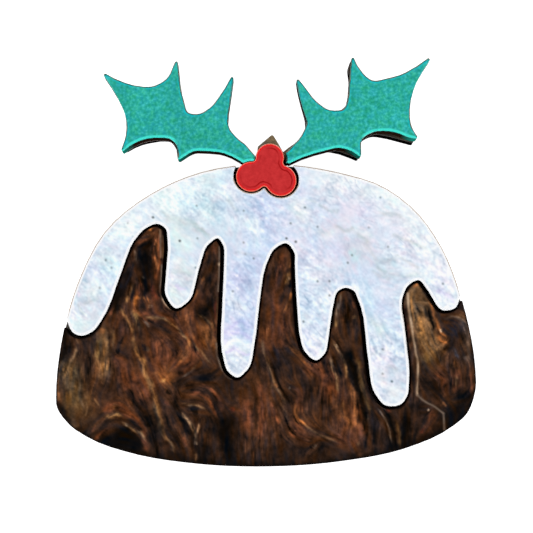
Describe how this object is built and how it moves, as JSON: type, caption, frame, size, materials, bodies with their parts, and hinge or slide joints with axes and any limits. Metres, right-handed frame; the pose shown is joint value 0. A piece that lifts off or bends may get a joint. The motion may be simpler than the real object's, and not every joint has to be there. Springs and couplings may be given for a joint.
{
  "type": "acrylic christmas pudding ornament",
  "caption": "Flat christmas pudding ornament of layered acrylic sheet: marbled pudding, dripping icing, holly leaves and berries side by side on a base plate cut to one outline.",
  "frame": {"origin": "under the middle of the outline, at the level of the back face that it lies on", "axes": "+Z out of the shown face, +Y from the pudding's foot towards the holly, +X to the right as it is looked at"},
  "size_m": [0.05, 0.049, 0.0061],
  "materials": {
    "base_brown": "dark brown acrylic sheet, laser cut, glossy edges",
    "marbled_brown": "brown marbled acrylic with pale and near-black swirls, glossy",
    "pearl_white": "pearl white acrylic with faint grey, blue and lilac streaks, glossy",
    "teal_glitter": "teal acrylic with a fine pearl glitter, soft gloss",
    "berry_red": "plain red acrylic with bright polished edges, glossy"
  },
  "bodies": {
    "root": {"base_plate": "base_brown", "pudding_body": "marbled_brown", "icing": "pearl_white", "leaf_left": "teal_glitter", "leaf_right": "teal_glitter", "berries": "berry_red"}
  },
  "joints": []
}
